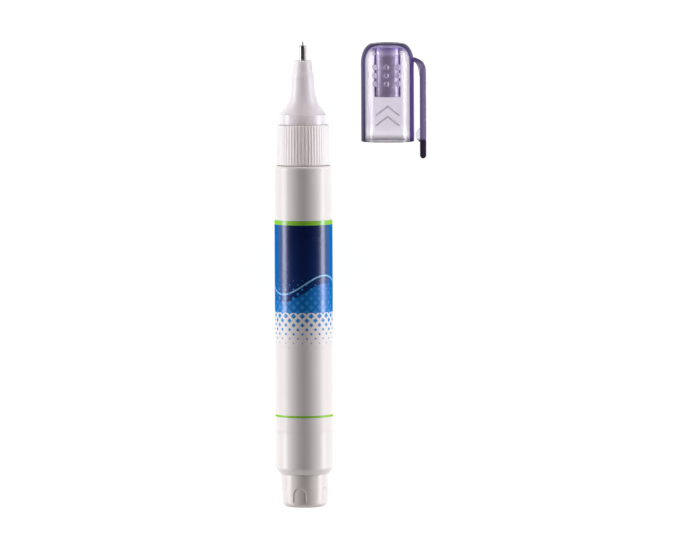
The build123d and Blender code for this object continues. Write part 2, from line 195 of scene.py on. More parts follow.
class CapSizes(bpy.types.PropertyGroup):
    """Sizes of the cap, along its axis from its mouth."""

    fine_arc: angle("Fine arc", 37, "Half of the front that carries the pips and chevrons")
    fine_steps: count("Fine steps", 116, "Columns over that front")
    plain_steps: count("Plain steps", 116, "Columns over the rest")
    radius: length("Cap radius", 7.35, "Outside of the cap")
    bore: length("Cap bore", 6.3, "Inside radius of the cap")
    socket: length("Socket radius", 6.65, "Wider mouth that goes over the ring")
    socket_depth: length("Socket depth", 3.1, "Depth of that mouth")
    socket_slope: length("Socket slope", 1.6, "Length of the slope from the mouth to the bore")
    dome_start: length("Dome start", 21.7, "Where the wall starts to round over")
    dome_centre: length("Dome centre radius", 3.87, "Radius at which the dome ends in the flat rim")
    dome_rise: length("Dome rise", 5.5, "Height of the dome outside")
    dome_inner_rise: length("Inner dome rise", 4.3, "Height of the dome inside")
    hole: length("Hole radius", 3.42, "Hole in the cap's top")
    boss: length("Boss radius", 4.22, "Collar that holds the seal")
    boss_start: length("Boss start", 23.8, "Lower end of that collar")
    wall_step: length("Wall step", 0.085, "Row spacing on the wall")
    pip_radius: length("Pip radius", 0.8, "Radius of a pip")
    pip_height: length("Pip height", 0.4, "Height of a pip")
    pip_flank: length("Pip flank", 0.46, "Width of a pip's sloping side")
    pip_row: length("Pip row spacing", 2.25, "Distance between rows of pips")
    pip_top: length("Top pip row", 20.65, "Height of the top row")
    pip_step: angle("Pip spacing", 25.5, "Angle between the columns of pips")
    pip_turn: angle("Pip turn", -2.7, "Angle of the middle column")
    chevron_low: length("Lower chevron", 4.2, "Height of the lower chevron's feet")
    chevron_step: length("Chevron step", 2.8, "Distance between the chevrons")
    chevron_half: length("Chevron half span", 3.2, "Half the width of a chevron")
    chevron_rise: length("Chevron rise", 2.6, "Rise of a chevron to its point")
    chevron_stroke: length("Chevron stroke", 0.8, "Height of a chevron's bar")
    chevron_relief: length("Chevron relief", 0.2, "How far a chevron stands out")
    chevron_edge: length("Chevron edge", 0.15, "Width over which its edge falls off")
    seal_radius: length("Seal radius", 3.6, "Outside of the seal's sleeve")
    seal_head: length("Seal head radius", 3.4, "Seal's head in the boss")
    seal_lip_bore: length("Seal lip bore", 3.2, "Inside radius of the thin lip")
    seal_bore: length("Seal bore", 2.8, "Inside radius behind the lip")
    seal_start: length("Seal start", 12.34, "Lower end of the seal")
    seal_lip: length("Seal lip", 2.2, "Length of the thin lip")
    seal_shoulder: length("Seal shoulder", 23.75, "Where the sleeve steps in to its head")
    seal_top: length("Seal top", 26.8, "Seal's top face")
    seal_ceiling: length("Seal ceiling", 24.7, "Inside of the seal's head")
    clip_thick: length("Clip thickness", 1.75, "Thickness of the clip's bar")
    clip_width: length("Clip width", 4.2, "Width of the clip's bar")
    clip_centre: length("Clip distance", 9.745, "Distance of the bar's middle from the axis")
    clip_root: length("Clip root", 22.8, "Height of the arm where it leaves the wall")
    clip_root_in: length("Clip root radius", 7.1, "Radius at which the arm starts, in the wall")
    arm_share: share("Arm share", 0.68, "Thickness of the arm at the wall, as a share of the bar")
    clip_corner: length("Clip corner", 21.3, "Height of the corner between arm and bar")
    clip_bend: length("Clip bend", 1.9, "How far the corner's bend reaches")
    clip_end: length("Clip end", -4.65, "Lower end of the clip, below the mouth")
    nub_height: length("Nub height", 1.7, "Middle of the gripping nub")
    nub_chord: length("Nub chord", 3.8, "Length of the nub on the bar")
    nub_rise: length("Nub rise", 1.1, "How far the nub stands in from the bar")
    nub_width: length("Nub width", 0.7, "Width of the nub")
    gusset_width: length("Gusset width", 0.5, "Width of the web under the arm")
    gusset_gap: length("Gusset gap", 0.35, "Room between the web and the cap's wall")
    gusset_height: length("Gusset height", 3.6, "Length of the web down the bar")


class PrintLayout(bpy.types.PropertyGroup):
    """Printed pattern on the film, in millimetres along and round it."""

    band_start: share("Band start", 33.1, "Lower edge of the dark band, mm above the film's lower edge")
    line_start: share("Line start", 57.2, "Lower edge of the green line at the film's upper edge, mm")
    field_start: share("Field start", 0.0, "Cosine of twice the angle from the front where side fields start")
    field_full: share("Field full", -0.75, "Cosine of twice the angle where they are full")
    wave_middle: share("Wave middle", 38.5, "Mean height of the bright wave's crest, mm")
    wave_height: share("Wave height", 2.6, "Half the height of the wave, mm")
    wave_length: share("Wave length", 25.13, "Length of one wave round the barrel, mm")
    stripe_offset: share("Stripe offset", 2.2, "Distance of the pale stripe above the wave, mm")
    stripe_half: share("Stripe half width", 0.22, "Half the width of the pale stripe, mm")
    lozenge_pitch: share("Lozenge pitch", 1.75, "Spacing of the lozenges, mm")
    lozenge_size: share("Lozenge size", 0.62, "Half the side of the largest lozenge, mm")
    lozenge_fade: share("Lozenge fade", 11.0, "Distance from the band's edge where the lozenges vanish, mm")
    rule_height: share("Rule height", 4.4, "Height of the rule near the film's lower edge, mm")
    rule_half: share("Rule half width", 0.3, "Half the width of that rule, mm")


class PenColours(bpy.types.PropertyGroup):
    """Colours of the finishes."""

    barrel: tint("Barrel", "#F1F0EF", "White of the barrel")
    barrel_shade: tint("Barrel shade", "#E9E6E5", "Slightly warmer white in the barrel's flow marks")
    plug: tint("Plug", "#F0ECEB", "White of the tail plug")
    plug_shade: tint("Plug shade", "#E6E0DF", "Darker white in the plug's flow marks")
    collar: tint("Collar", "#E5E6E9", "White of the collar")
    collar_shade: tint("Collar shade", "#DEDEE2", "Darker white in the collar's flow marks")
    nozzle: tint("Nozzle", "#E2E4EA", "Cooler white of the nozzle")
    nozzle_shade: tint("Nozzle shade", "#DCDDE5", "Darker cool white of the nozzle")
    film: tint("Film", "#EFEBEB", "Bare white of the printed film")
    navy: tint("Navy", "#081A50", "Dark ink at the top of the band")
    navy_low: tint("Lower navy", "#0D2F70", "Dark ink lower in the band")
    wave: tint("Wave", "#0F6FC0", "Bright blue of the wave")
    lozenge: tint("Lozenge", "#2F8FDC", "Blue of the lozenges")
    stripe: tint("Stripe", "#8CC9F2", "Pale blue stripe above the wave")
    lime: tint("Lime", "#8ED03A", "Green of the line and rule")
    bronze: tint("Ink bronze", "#D9E0FF", "Blue cast of the dark ink's shine")
    plated: tint("Plating", "#BAB8B6", "Nickel plating of the tube")
    pin: tint("Pin", "#D6D6D9", "Ground steel of the pin")
    wire: tint("Wire", "#9FA0A4", "Drawn wire and the ball")
    acetal: tint("Valve plastic", "#E4E2DC", "Natural white of the valve's plastic")
    acetal_shade: tint("Valve plastic shade", "#D8D5CD", "Darker tone of the valve's plastic")
    clear: tint("Clear violet", "#9F8EB4", "Colour that light takes on inside the cap")
    clip: tint("Clip violet", "#8960B3", "Colour that light takes on inside the clip")
    # Painted shade: darkens the clip towards its thick end below the cap's mouth
    clip_end: tint("Clip end", "#746869", "Darker tint of the clip's thick end")
    # Painted shade: the colour that the cap, clip and seal take where they are seen edge on
    edge_on_shade: tint("Deep violet", "#4B3A74", "Colour of light led along inside the wall")
    # Grey ink on the cap's chevrons, and painted shade on the clip's arm and inner edge
    bars: tint("Bars", "#A39EA9", "Grey ink on the cap's chevrons")
    frost: tint("Frost", "#D9D0EA", "Pale violet of the pips' ground sides")
    mouth: tint("Mouth", "#BCB9BE", "Greyer tint of the lip at the cap's mouth")
    # Painted shade: deepens the cap's tint towards the top of its dome, where the thick wall also looks
    # darker
    painted_dome_shade: tint("Crown", "#C4B9E0", "Deeper violet of the dome's thick top")
    seal: tint("Seal", "#9B8EAF", "Tinted plastic of the seal")
    seal_light: tint("Seal, thin", "#A598B9", "Seal where its wall is thinner")
    # Painted light: a lighter tint on the seal's head stands for light that falls on it through the hole in
    # the cap's top
    seal_head: tint("Seal head", "#D8CBEC", "Seal's head under the hole in the cap's top")
    fill: tint("Fill", "#FFE0DA", "Warm tone of the light carried through the waxy whites")
    room: tint("Room", "#FFEBE7", "Faintly warm white of the surroundings")
    floor: tint("Floor", "#9C9C9C", "Light that the studio floor throws back up")
    floor_shade: tint("Floor shade", "#BBBBBB", "Part of the floor's white that a shadow takes away")


class StudioLight(bpy.types.PropertyGroup):
    """Camera and light."""

    target_x: length("Target across", 13.37, "Point in the middle of the picture, across the pen")
    target_y: length("Target along", 64.0, "Point in the middle of the picture, along the pen")
    distance: length("Camera distance", 2000.0, "Distance of the camera")
    tilt: angle("Camera tilt", 4.0, "Lean of the camera towards the tip")
    roll: angle("Camera roll", -0.25, "Roll of the camera")
    lens: share("Lens", 373.0, "Focal length in mm on a 36 mm sensor")
    floor_half: length("Floor half width", 3000.0, "Half the floor's side")
    floor_glow: share("Floor glow", 0.88, "White that the camera sees in the floor besides its own light")
    strip_distance: length("Strip distance", 500.0, "Distance of the side lights from the pen")
    strip_height: length("Strip height", 150.0, "Height of the side lights")
    strip_length: length("Strip length", 900.0, "Length of the side lights")
    left_power: share("Left power", 3.3, "Power of the left side light in watts")
    right_power: share("Right power", 3.65, "Power of the right side light in watts")
    fill_height: length("Fill height", 600.0, "Height of the soft light that reaches the waxy whites alone")
    fill_size: length("Fill size", 300.0, "Side of that light")
    fill_power: share("Fill power", 1.0, "Power of that light in watts")
    end_distance: length("End light distance", 600.0, "How far the low light at the tip's end stands off")
    end_height: length("End light height", 30.0, "Height of that light")
    end_size: length("End light size", 60.0, "Side of that light")
    end_power: share("End light power", 0.9, "Power of that light in watts")
    side_level: share("Side level", 0.74, "Brightness of the surroundings near the horizon")
    top_level: share("Top level", 0.02, "Brightness of the surroundings overhead")


def softened(points, steps=7):
    """Outline with softened corners from rows of (across, along, reach).

    A corner P with neighbours in directions u and v becomes the parabola
    P + (1 - s)^2 reach u + s^2 reach v for s from 0 to 1, which leaves both sides smoothly.
    """
    table = np.array(points, float)
    corner, reach = table[:, None, :2], table[:, None, 2:]
    back = np.roll(corner, 1, 0) - corner
    ahead = np.roll(corner, -1, 0) - corner
    s = np.linspace(0, 1, steps)[None, :, None]
    back = back / np.linalg.norm(back, axis=2, keepdims=True)
    ahead = ahead / np.linalg.norm(ahead, axis=2, keepdims=True)
    curve = (corner + (1 - s) ** 2 * reach * back + s**2 * reach * ahead).reshape(-1, 2)
    moved = np.linalg.norm(curve - np.roll(curve, 1, 0), axis=1) > MERGE
    return curve[moved]


def refined(outline, step, edge=0.25 * MM, closed=True):
    """Outline with points added: one close to each end of a long stretch, so that flat walls
    shade flat, and more so that no stretch is longer than the step."""
    ends = np.vstack([outline, outline[:1]]) if closed else outline
    run = np.concatenate([[0.0], np.cumsum(np.linalg.norm(np.diff(ends, axis=0), axis=1))])
    wide = np.diff(run) > 3 * edge
    marks = np.concatenate([run, run[:-1][wide] + edge, run[1:][wide] - edge])
    extra = np.arange(0.0, run[-1], step)
    clear = np.abs(extra[:, None] - marks[None, :]).min(1) > 0.4 * min(step, edge)
    marks = np.unique(np.concatenate([marks, extra[clear]]))
    marks = marks[:-1] if closed else marks
    return np.stack([np.interp(marks, run, ends[:, k]) for k in (0, 1)], 1)


def turned(outline, angles, axis=(0.0, 0.0), start=0.0, wall=None):
    """Surface turned about a line along Y through (x, z) = axis.

    Point (i, j) is outline point i (radius r, height h) at angle a of column j:
    x = axis x + r sin a, y = start + h, z = axis z + r cos a. wall(r, h, a) may change r.
    """
    r, h, a = outline[:, :1], outline[:, 1:], angles[None, :]
    r = r + 0 * a if wall is None else wall(r + 0 * a, h + 0 * a, a + 0 * r)
    return np.stack([axis[0] + r * np.sin(a), start + h + 0 * r, axis[1] + r * np.cos(a)], 2)


def circle(steps):
    """Equal angles round a full turn, from the lowest line of the piece."""
    return np.linspace(-math.pi, math.pi, steps, endpoint=False)


def smooth(low, high, x):
    """0 below low, 1 above high, and 3 t^2 - 2 t^3 between them."""
    t = np.clip((x - low) / (high - low), 0, 1)
    return t * t * (3 - 2 * t)


def swept(path, normal, section, reach, width):
    """Profile carried along a path in a level plane.

    Point (i, j) is path i + normal i * reach i * across j, raised by half the width * up j, with
    across and up the two columns of the section.
    """
    level = path[:, None] + (normal * reach[:, None])[:, None] * section[:, :1]
    return level + section[:, 1:] * np.array([0.0, 0.0, width / 2])


def piece(name, grids, material, body, nodes, unrolled=None):
    """One object from closed grids of points, each with flags for rows and columns that close up.

    Quads join neighbouring points; a grid whose signed volume is negative is turned right way out.
    Points that meet at a pole or a folded end are merged.
    """
    points, quads, first = [], [], 0
    for grid, close_rows, close_columns in grids:
        rows, columns = grid.shape[:2]
        i = np.arange(rows - (not close_rows))[:, None]
        j = np.arange(columns - (not close_columns))[None, :]
        here, ahead, beside = i * columns, (i + 1) % rows * columns, (j + 1) % columns
        quad = np.stack([here + j, here + beside, ahead + beside, ahead + j], 2).reshape(-1, 4)
        flat = grid.reshape(-1, 3)
        a, b, c, d = (flat[quad[:, k]] for k in range(4))
        volume = np.einsum("ij,ij->", a, np.cross(b, c) + np.cross(c, d))
        quads.append((quad if volume > 0 else quad[:, ::-1]) + first)
        points.append(flat)
        first += len(flat)
    mesh = bpy.data.meshes.new(name)
    mesh.from_pydata(np.vstack(points).tolist(), [], np.vstack(quads).tolist())
    if unrolled is not None:
        layer = mesh.uv_layers.new(name="unrolled")
        corners = unrolled if volume > 0 else unrolled[:, ::-1]
        layer.data.foreach_set("uv", corners.astype(np.float32).ravel())
    shape = bmesh.new()
    shape.from_mesh(mesh)
    bmesh.ops.remove_doubles(shape, verts=shape.verts, dist=MERGE)
    shape.to_mesh(mesh)
    shape.free()
    mesh.polygons.foreach_set("use_smooth", np.ones(len(mesh.polygons), bool))
    mesh.set_sharp_from_angle(angle=SHARP)
    mesh.materials.append(material)
    made = bpy.data.objects.new(name, mesh)
    bpy.context.scene.collection.objects.link(made)
    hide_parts(*nodes)
    if body:
        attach(made, body)
    return made


def marked(made, **marks):
    """Named numbers on the points of a piece, for its material to read."""
    for name, values in marks.items():
        layer = made.data.attributes.new(name, "FLOAT", "POINT")
        layer.data.foreach_set("value", np.ascontiguousarray(values, np.float32).ravel())


def node(tree, kind, sockets=(), **settings):
    """Adds one node. A socket, by name or number, takes a value, an output or a node's first live one."""
    made = tree.nodes.new("ShaderNode" + kind)
    for name, value in settings.items():
        setattr(made, name, value)
    for key, value in dict(sockets).items():
        if isinstance(value, bpy.types.Node):
            value = next(output for output in value.outputs if output.enabled)
        if isinstance(value, bpy.types.NodeSocket):
            tree.links.new(value, made.inputs[key])
        else:
            made.inputs[key].default_value = value
    return made


def blank(name):
    """A new material with an empty node tree."""
    material = bpy.data.materials.new(name)
    material.use_nodes = True
    material.node_tree.nodes.clear()
    return material, material.node_tree


def fading_gloss(tree, level):
    """Specular level of a skin that is glossy face on and dull edge on."""
    graze = node(tree, "LayerWeight", {"Blend": 0.5}).outputs["Facing"]
    fall = {"From Min": 0.3, "From Max": 0.55, "To Min": level, "To Max": 0.0}
    return node(tree, "MapRange", {"Value": graze, **fall})


def moulded_plastic(name, colour, shade, roughness, scatter, depth):
    """Moulded white polyolefin: even satin white with faint flow marks, a little light inside."""
    material, tree = blank(name)
    place = node(tree, "TexCoord").outputs["Object"]
    # Flow marks about 7 mm wide and 25 mm long tint the white a little
    marks = (1 / (7 * MM), 1 / (25 * MM), 1 / (7 * MM))
    stretched = node(tree, "Mapping", {"Vector": place, "Scale": marks})
    flow = node(tree, "TexNoise", {"Vector": stretched, "Scale": 1.0, "Detail": 3.0})
    tone = node(tree, "Mix", {0: flow, 6: colour, 7: shade}, data_type="RGBA")
    # Spark-eroded mould grain, 0.3 mm here so that it shows, breaks the gloss
    grain = node(tree, "TexNoise", {"Vector": place, "Scale": 1 / (0.3 * MM), "Detail": 2.0})
    gloss = node(tree, "MapRange", {"Value": grain, "To Min": roughness - 0.06, "To Max": roughness + 0.06})
    skin = {
        "Base Color": tone,
        "Roughness": gloss,
        "IOR": 1.49,
        "Specular IOR Level": fading_gloss(tree, 0.5),
        "Subsurface Weight": scatter,
        "Subsurface Radius": (1.0, 0.9, 0.9),
        "Subsurface Scale": depth,
        "Normal": node(tree, "Bump", {"Height": grain, "Strength": 0.12, "Distance": 0.04 * MM}),
    }
    node(tree, "OutputMaterial", {"Surface": node(tree, "BsdfPrincipled", skin)})
    return material


def printed_film(colours, layout, around, along):
    """Gloss polypropylene film, gravure printed: saturated inks under a clear shine.

    Heights along and distances round the barrel come from the film's unrolled map, in mm.
    """
    material, tree = blank("Printed gloss film")
    unrolled = node(tree, "UVMap", uv_map="unrolled")
    flat = node(tree, "VectorMath", {0: unrolled, 1: (around, along, 1.0)}, operation="MULTIPLY")
    u, v = node(tree, "SeparateXYZ", {0: flat}).outputs[:2]
    band, line = (
        node(tree, "Math", {0: v, 1: start}, operation="GREATER_THAN")
        for start in (layout.band_start, layout.line_start)
    )
    # Lozenges on a lattice turned by an eighth, shrinking away from the band's lower edge
    lattice = node(tree, "Mapping", {"Vector": flat, "Rotation": (0.0, 0.0, TURN / 8)})
    first, second = (
        node(tree, "Math", {0: side, 1: layout.lozenge_pitch / 2}, operation="PINGPONG")
        for side in node(tree, "SeparateXYZ", {0: lattice}).outputs[:2]
    )
    reach = node(tree, "Math", {0: first, 1: second}, operation="MAXIMUM")
    away = node(tree, "Math", {0: v, 1: layout.band_start}, operation="SUBTRACT")
    away = node(tree, "Math", {0: away}, operation="ABSOLUTE")
    shrink = {"From Max": layout.lozenge_fade, "To Min": layout.lozenge_size, "To Max": 0.0}
    size = node(tree, "MapRange", {"Value": away, **shrink})
    lozenge = node(tree, "Math", {0: reach, 1: size}, operation="LESS_THAN")
    # A sine wave round the barrel, with a pale stripe that follows it
    phase = node(tree, "Math", {0: u, 1: TURN / layout.wave_length}, operation="MULTIPLY")
    swing = node(tree, "Math", {0: phase}, operation="SINE")
    rise = {0: swing, 1: layout.wave_height, 2: layout.wave_middle}
    crest = node(tree, "Math", rise, operation="MULTIPLY_ADD")
    above = node(tree, "Math", {0: v, 1: crest}, operation="SUBTRACT")
    wave = node(tree, "Math", {0: above, 1: 0.0}, operation="LESS_THAN")
    stripe, rule = (
        node(tree, "Math", {0: height, 1: middle, 2: half}, operation="COMPARE")
        for height, middle, half in (
            (above, layout.stripe_offset, layout.stripe_half),
            (v, layout.rule_height, layout.rule_half),
        )
    )
    # Two broad blue fields face the pen's sides
    turn = node(tree, "Math", {0: u, 1: 2 * TURN / around}, operation="MULTIPLY")
    turn = node(tree, "Math", {0: turn}, operation="COSINE")
    field, climb = (
        node(tree, "MapRange", {"Value": value, "From Min": start, "From Max": full})
        for value, start, full in (
            (turn, layout.field_start, layout.field_full),
            (v, layout.band_start, layout.line_start),
        )
    )
    # The inks of each part, over one another: where each lies and its colour
    dark, bare = colours.navy_low, colours.film
    for where, ink in (
        (climb, colours.navy),
        (field, colours.wave),
        (wave, colours.wave),
        (stripe, colours.stripe),
        (lozenge, colours.lozenge),
        (line, colours.lime),
    ):
        dark = node(tree, "Mix", {0: where, 6: dark, 7: ink}, data_type="RGBA")
    for where, ink in ((lozenge, colours.lozenge), (rule, colours.lime)):
        bare = node(tree, "Mix", {0: where, 6: bare, 7: ink}, data_type="RGBA")
    # The film isn't quite flat on the barrel: ripples about 4 mm wide move its highlights
    place = node(tree, "TexCoord").outputs["Object"]
    ripple = node(tree, "TexNoise", {"Vector": place, "Scale": 1 / (4 * MM), "Detail": 1.0})
    gloss = node(tree, "MapRange", {"Value": ripple, "To Min": 0.21, "To Max": 0.31})
    # Ink lies on the film as a shiny layer with a blue bronze to its shine, and bare film is duller
    matt = node(tree, "MapRange", {"Value": band, "To Min": 0.12, "To Max": 0.0})
    level = node(tree, "MapRange", {"Value": band, "To Min": 0.4, "To Max": 1.0})
    level = node(tree, "Math", {0: fading_gloss(tree, 0.88), 1: level}, operation="MULTIPLY")
    skin = {
        "Base Color": node(tree, "Mix", {0: band, 6: bare, 7: dark}, data_type="RGBA"),
        "Roughness": node(tree, "Math", {0: gloss, 1: matt}, operation="ADD"),
        "IOR": 1.5,
        "Specular IOR Level": level,
        "Specular Tint": node(tree, "Mix", {0: band, 6: WHITE, 7: colours.bronze}, data_type="RGBA"),
        "Normal": node(tree, "Bump", {"Height": ripple, "Strength": 0.1, "Distance": 0.1 * MM}),
    }
    node(tree, "OutputMaterial", {"Surface": node(tree, "BsdfPrincipled", skin)})
    return material


def drawn_metal(name, colour, roughness, pitch):
    """Drawn and plated metal: bright but brushed, with fine turning marks round it."""
    material, tree = blank(name)
    place = node(tree, "TexCoord").outputs["Object"]
    # Turning marks one pitch apart along the pen, and about 25 mm long round it
    rings = node(tree, "Mapping", {"Vector": place, "Scale": (1 / (25 * MM), 1 / pitch, 1 / (25 * MM))})
    marks = node(tree, "TexNoise", {"Vector": rings, "Scale": 1.0, "Detail": 2.0})
    gloss = node(tree, "MapRange", {"Value": marks, "To Min": roughness - 0.05, "To Max": roughness + 0.08})
    skin = {
        "Base Color": colour,
        "Metallic": 1.0,
        "Roughness": gloss,
        "Specular Tint": (0.3, 0.3, 0.3, 1.0),
        "Normal": node(tree, "Bump", {"Height": marks, "Strength": 0.08, "Distance": 0.02 * MM}),
    }
    node(tree, "OutputMaterial", {"Surface": node(tree, "BsdfPrincipled", skin)})
    return material


def clear_plastic(name, colour, colours, ends, density, roughness):
    """Clear tinted polystyrene, polished mould: glassy, darker where light passes more of it.

    The mesh says where its outer skin, its grey ink and painted shade, and its ground pips are, from 0 to 1
    on its points.
    Each of the ends, a colour with two heights along the pen, deepens the tint from the second
    height to the first, as painted shade. The index is below polystyrene's 1.59, whose edges would mirror too
    much.
    """
    material, tree = blank(name)
    place = node(tree, "TexCoord").outputs["Object"]
    # Sink marks about 5 mm wide in the moulded wall bend what is seen through it a little
    sink = node(tree, "TexNoise", {"Vector": place, "Scale": 1 / (5 * MM), "Detail": 1.0})
    # Handling scuffs, drawn 0.4 mm wide so that they show, dull the gloss in places
    scuff = node(tree, "TexNoise", {"Vector": place, "Scale": 1 / (0.4 * MM), "Detail": 4.0})
    dulled = {"From Min": 0.4, "From Max": 0.8, "To Min": roughness, "To Max": roughness + 0.1}
    # Painted shade: where the eye grazes the outer skin, the base colour turns dark violet and light stops
    # passing, standing for light led round inside the wall
    graze = node(tree, "LayerWeight", {"Blend": 0.5}).outputs["Facing"]
    rim = node(tree, "MapRange", {"Value": graze, "From Min": 0.35, "From Max": 0.47})
    skin, bars, pips = (
        node(tree, "Attribute", attribute_name=mark).outputs["Fac"] for mark in ("skin", "bars", "pips")
    )
    rim = node(tree, "Math", {0: rim, 1: skin}, operation="MULTIPLY")
    veil = node(tree, "Math", {0: pips, 1: 0.5}, operation="MULTIPLY")
    veil = node(tree, "Math", {0: rim, 1: veil}, operation="MAXIMUM")
    tone = WHITE
    for where, paint in ((bars, colours.bars), (rim, colours.edge_on_shade), (pips, colours.frost)):
        tone = node(tree, "Mix", {0: where, 6: tone, 7: paint}, data_type="RGBA")
    along = node(tree, "SeparateXYZ", {0: place}).outputs[1]
    for paint, full, none in ends:
        fall = node(tree, "MapRange", {"Value": along, "From Min": none, "From Max": full})
        tone = node(tree, "Mix", {0: fall, 6: tone, 7: paint}, data_type="RGBA", blend_type="MULTIPLY")
    surface = {
        "Base Color": tone,
        "Roughness": node(tree, "MapRange", {"Value": scuff, **dulled}),
        "IOR": 1.48,
        "Specular IOR Level": 0.1,
        "Specular Tint": (0.5, 0.5, 0.5, 1.0),
        "Transmission Weight": node(tree, "Math", {0: 1.0, 1: veil}, operation="SUBTRACT"),
        "Normal": node(tree, "Bump", {"Height": sink, "Strength": 0.1, "Distance": 0.1 * MM}),
    }
    inside = node(tree, "VolumeAbsorption", {"Color": colour, "Density": density})
    node(tree, "OutputMaterial", {"Surface": node(tree, "BsdfPrincipled", surface), "Volume": inside})
    return material


def tinted_plastic(name, colour, thin, edge_on_shade, head, shoulder):
    """Tinted soft polyethylene: waxy, with a broad soft shine, painted light that makes it lighter above its
    shoulder, and painted shade edge on.
    """
    material, tree = blank(name)
    place = node(tree, "TexCoord").outputs["Object"]
    # Cloudy tint, about 3 mm from patch to patch
    cloud = node(tree, "TexNoise", {"Vector": place, "Scale": 1 / (3 * MM), "Detail": 2.0})
    # Painted light: the head is lighter above the shoulder, standing for light that falls on it through the
    # hole above it
    along = node(tree, "SeparateXYZ", {0: place}).outputs[1]
    step = {"From Min": shoulder - 0.3 * MM, "From Max": shoulder + 0.1 * MM}
    lit = node(tree, "MapRange", {"Value": along, **step})
    # Painted shade: seen edge on, the base colour darkens, standing for the thick, dark wall
    graze = node(tree, "LayerWeight", {"Blend": 0.5}).outputs["Facing"]
    rim = node(tree, "MapRange", {"Value": graze, "From Min": 0.41, "From Max": 0.56})
    tone = colour
    for where, paint in ((cloud, thin), (lit, head), (rim, edge_on_shade)):
        tone = node(tree, "Mix", {0: where, 6: tone, 7: paint}, data_type="RGBA")
    skin = {
        "Base Color": tone,
        "Roughness": node(tree, "MapRange", {"Value": cloud, "To Min": 0.24, "To Max": 0.32}),
        "IOR": 1.52,
        "Specular IOR Level": fading_gloss(tree, 1.0),
    }
    node(tree, "OutputMaterial", {"Surface": node(tree, "BsdfPrincipled", skin)})
    return material


def reach_of(name):
    """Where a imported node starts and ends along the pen."""
    low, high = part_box(name)
    return low.y, high.y


def cap_axis():
    """Place of the cap's axis across and up, and of its mouth along the pen."""
    low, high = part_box("inner_seal")
    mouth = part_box("cap_shell")[0].y
    return ((low.x + high.x) / 2, (low.z + high.z) / 2), mouth


class PEN_OT_barrel(bpy.types.Operator):
    """White barrel with a chamfered tail, a recess for the film and a neck"""

    bl_idname = "pen.barrel"
    bl_label = "Barrel"

    def execute(self, context):
        s, c = context.scene.pen_sizes, context.scene.pen_colours
        tail, neck_end = reach_of("barrel")
        film_low, film_high = reach_of("label")
        recess = s.barrel_radius - s.film - s.film_glue
        low, high = film_low - s.film_gap, film_high + s.film_gap
        tiny, soft = 0.02 * MM, 0.2 * MM
        outline = softened([
            (s.barrel_bore, tail, soft),
            (s.barrel_rim, tail, soft),
            (s.barrel_radius, tail + s.barrel_chamfer, 2 * soft),
            (s.barrel_radius, low, tiny),
            (recess, low, tiny),
            (recess, high, tiny),
            (s.barrel_radius, high, tiny),
            (s.barrel_radius, s.shoulder, s.shoulder_reach),
            (s.neck_radius, s.shoulder, soft),
            (s.neck_radius, neck_end, soft),
            (s.neck_bore, neck_end, soft),
            (s.neck_bore, s.throat, soft),
            (s.barrel_bore, s.throat - s.throat_slope, soft),
        ])
        grid = turned(refined(outline, 4 * MM), circle(s.round_steps))
        satin = {"roughness": 0.34, "scatter": 0.12, "depth": 1.2 * MM}
        white = moulded_plastic("Moulded white polypropylene", c.barrel, c.barrel_shade, **satin)
        piece("barrel_tube", [(grid, True, True)], white, "pen", ["barrel"])
        return {"FINISHED"}


class PEN_OT_film(bpy.types.Operator):
    """Printed film round the barrel, lapped over itself low at the back"""

    bl_idname = "pen.film"
    bl_label = "Printed film"

    def execute(self, context):
        s, c = context.scene.pen_sizes, context.scene.pen_colours
        low, high = reach_of("label")
        outside, inside, tiny = s.barrel_radius, s.barrel_radius - s.film, 0.03 * MM
        outline = softened([
            (outside, low, tiny),
            (outside, high, tiny),
            (inside, high, tiny),
            (inside, low, tiny),
        ], 4)
        outline = refined(outline, 1.5 * MM)
        angles = circle(2 * s.round_steps)
        lap_start, lap_top, lap_end = np.radians([126, 140, 141])

        def lapped(r, h, a):
            """Radius plus the lap, which rises slowly over 14 degrees and drops over one."""
            return r + s.film_lap * smooth(lap_start, lap_top, a) * (1 - smooth(lap_top, lap_end, a))

        grid = turned(outline, angles, wall=lapped)
        columns = np.append(angles, math.pi) / TURN + 0.5
        rows = (np.append(outline[:, 1], outline[0, 1]) - low) / (high - low)
        u, v = columns[None, :] + 0 * rows[:, None], rows[:, None] + 0 * columns[None, :]
        flat = np.stack([u, v], 2)
        corners = np.stack([flat[:-1, :-1], flat[:-1, 1:], flat[1:, 1:], flat[1:, :-1]], 2).reshape(-1, 4, 2)
        ink = printed_film(c, context.scene.pen_print, TURN * outside / MM, (high - low) / MM)
        piece("printed_film", [(grid, True, True)], ink, "pen", ["label"], corners)
        return {"FINISHED"}


